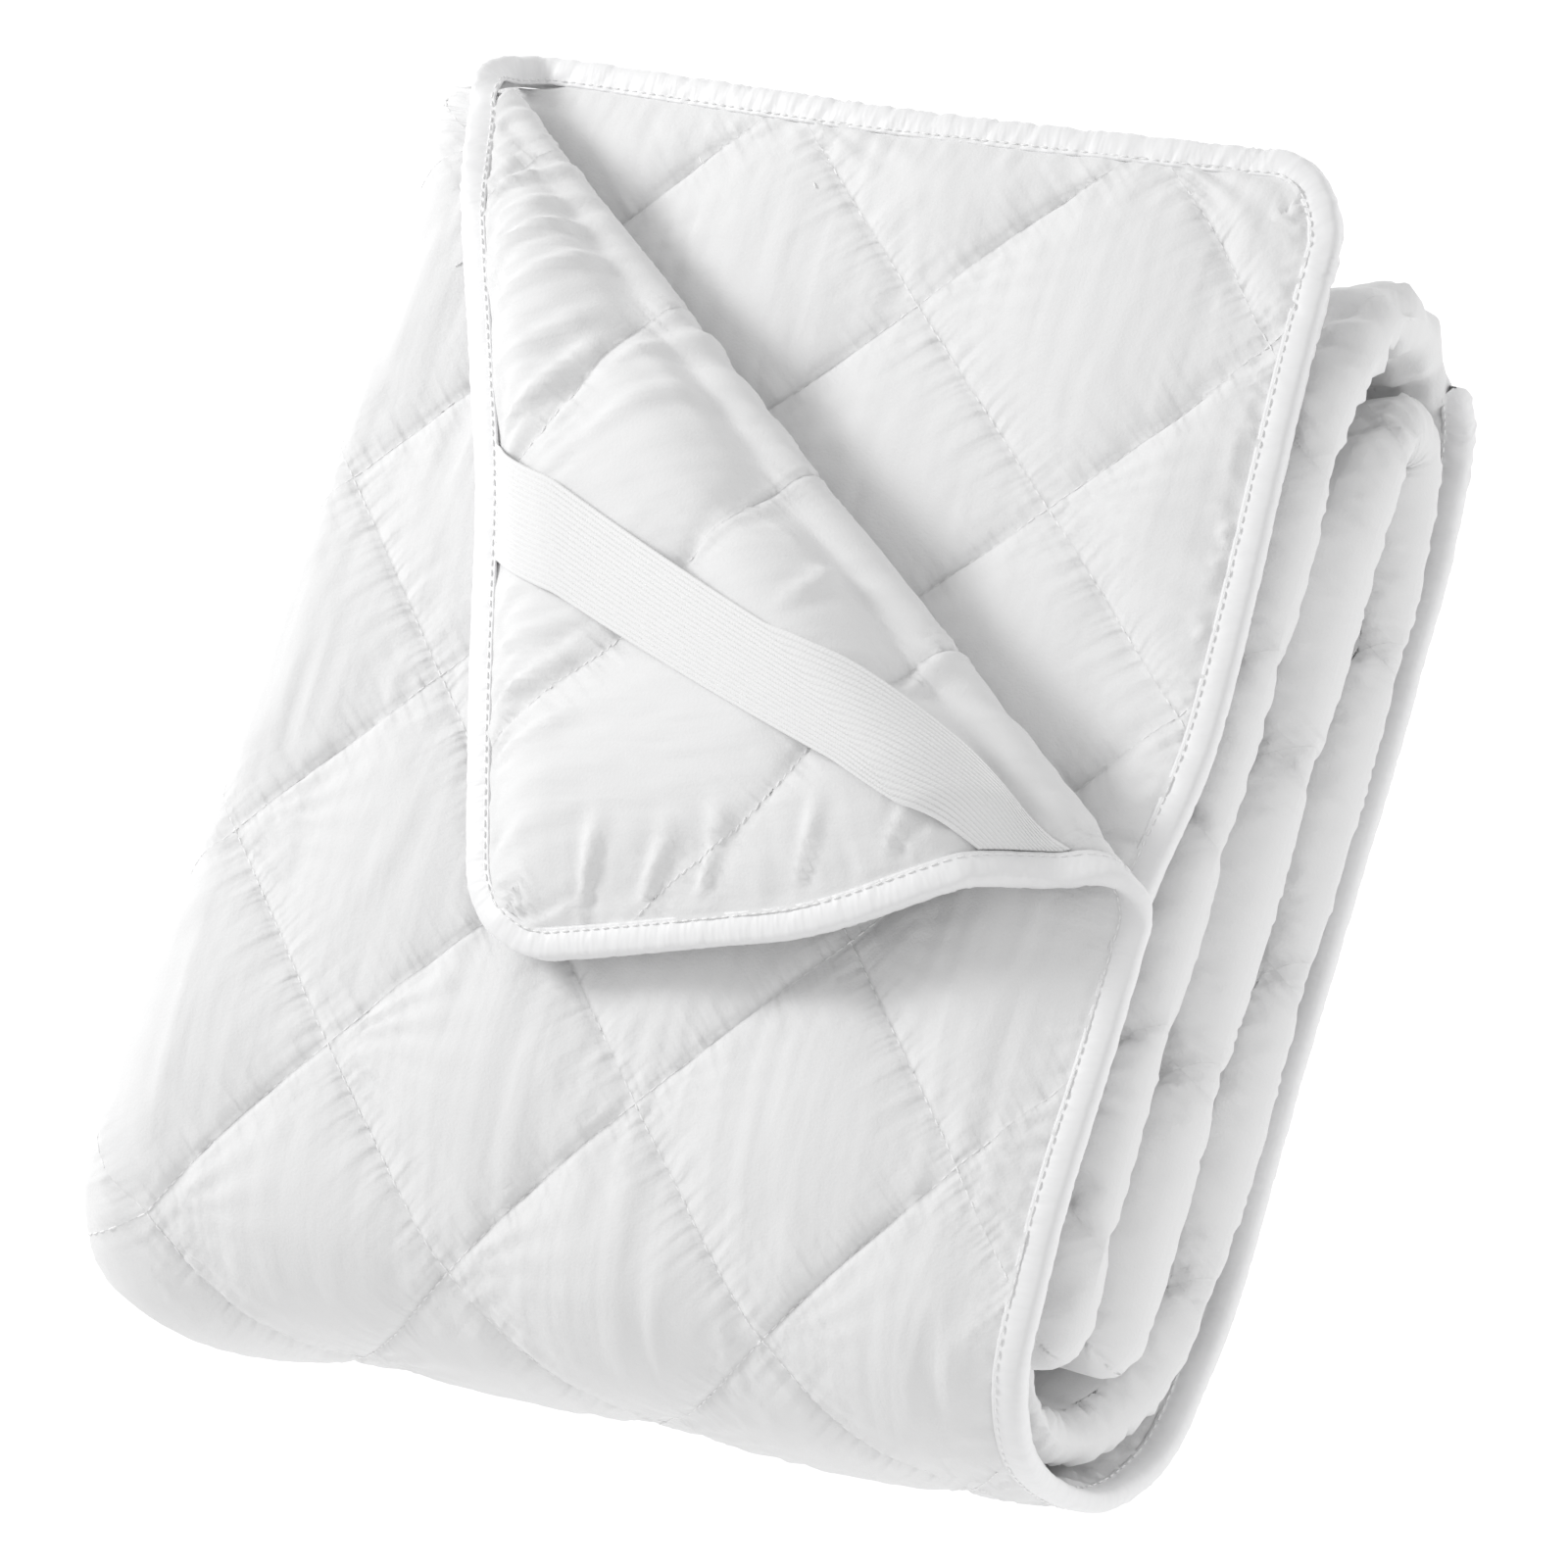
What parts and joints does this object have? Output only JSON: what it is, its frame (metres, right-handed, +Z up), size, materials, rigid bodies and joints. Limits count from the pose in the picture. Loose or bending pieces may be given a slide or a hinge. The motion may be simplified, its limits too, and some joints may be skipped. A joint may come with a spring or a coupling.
{
  "type": "folded mattress protector",
  "caption": "Quilted mattress protector folded into a soft bundle, with one corner turned back to show its elastic corner strap.",
  "frame": {"origin": "centre of the underside of the bundle's box, on the surface it lies on", "axes": "+X towards the open side of the folds, +Y towards the free top edges, +Z up"},
  "size_m": [0.441, 0.5372, 0.2414],
  "materials": {
    "quilted_cotton": "soft brushed cotton, quilted in diamonds, matte white",
    "binding_tape": "smooth white binding tape with a slight sheen",
    "ribbed_elastic": "ribbed white woven elastic"
  },
  "bodies": {
    "root": {"quilted_pad": "quilted_cotton", "edge_binding": "binding_tape", "corner_elastic": "ribbed_elastic"}
  },
  "joints": []
}
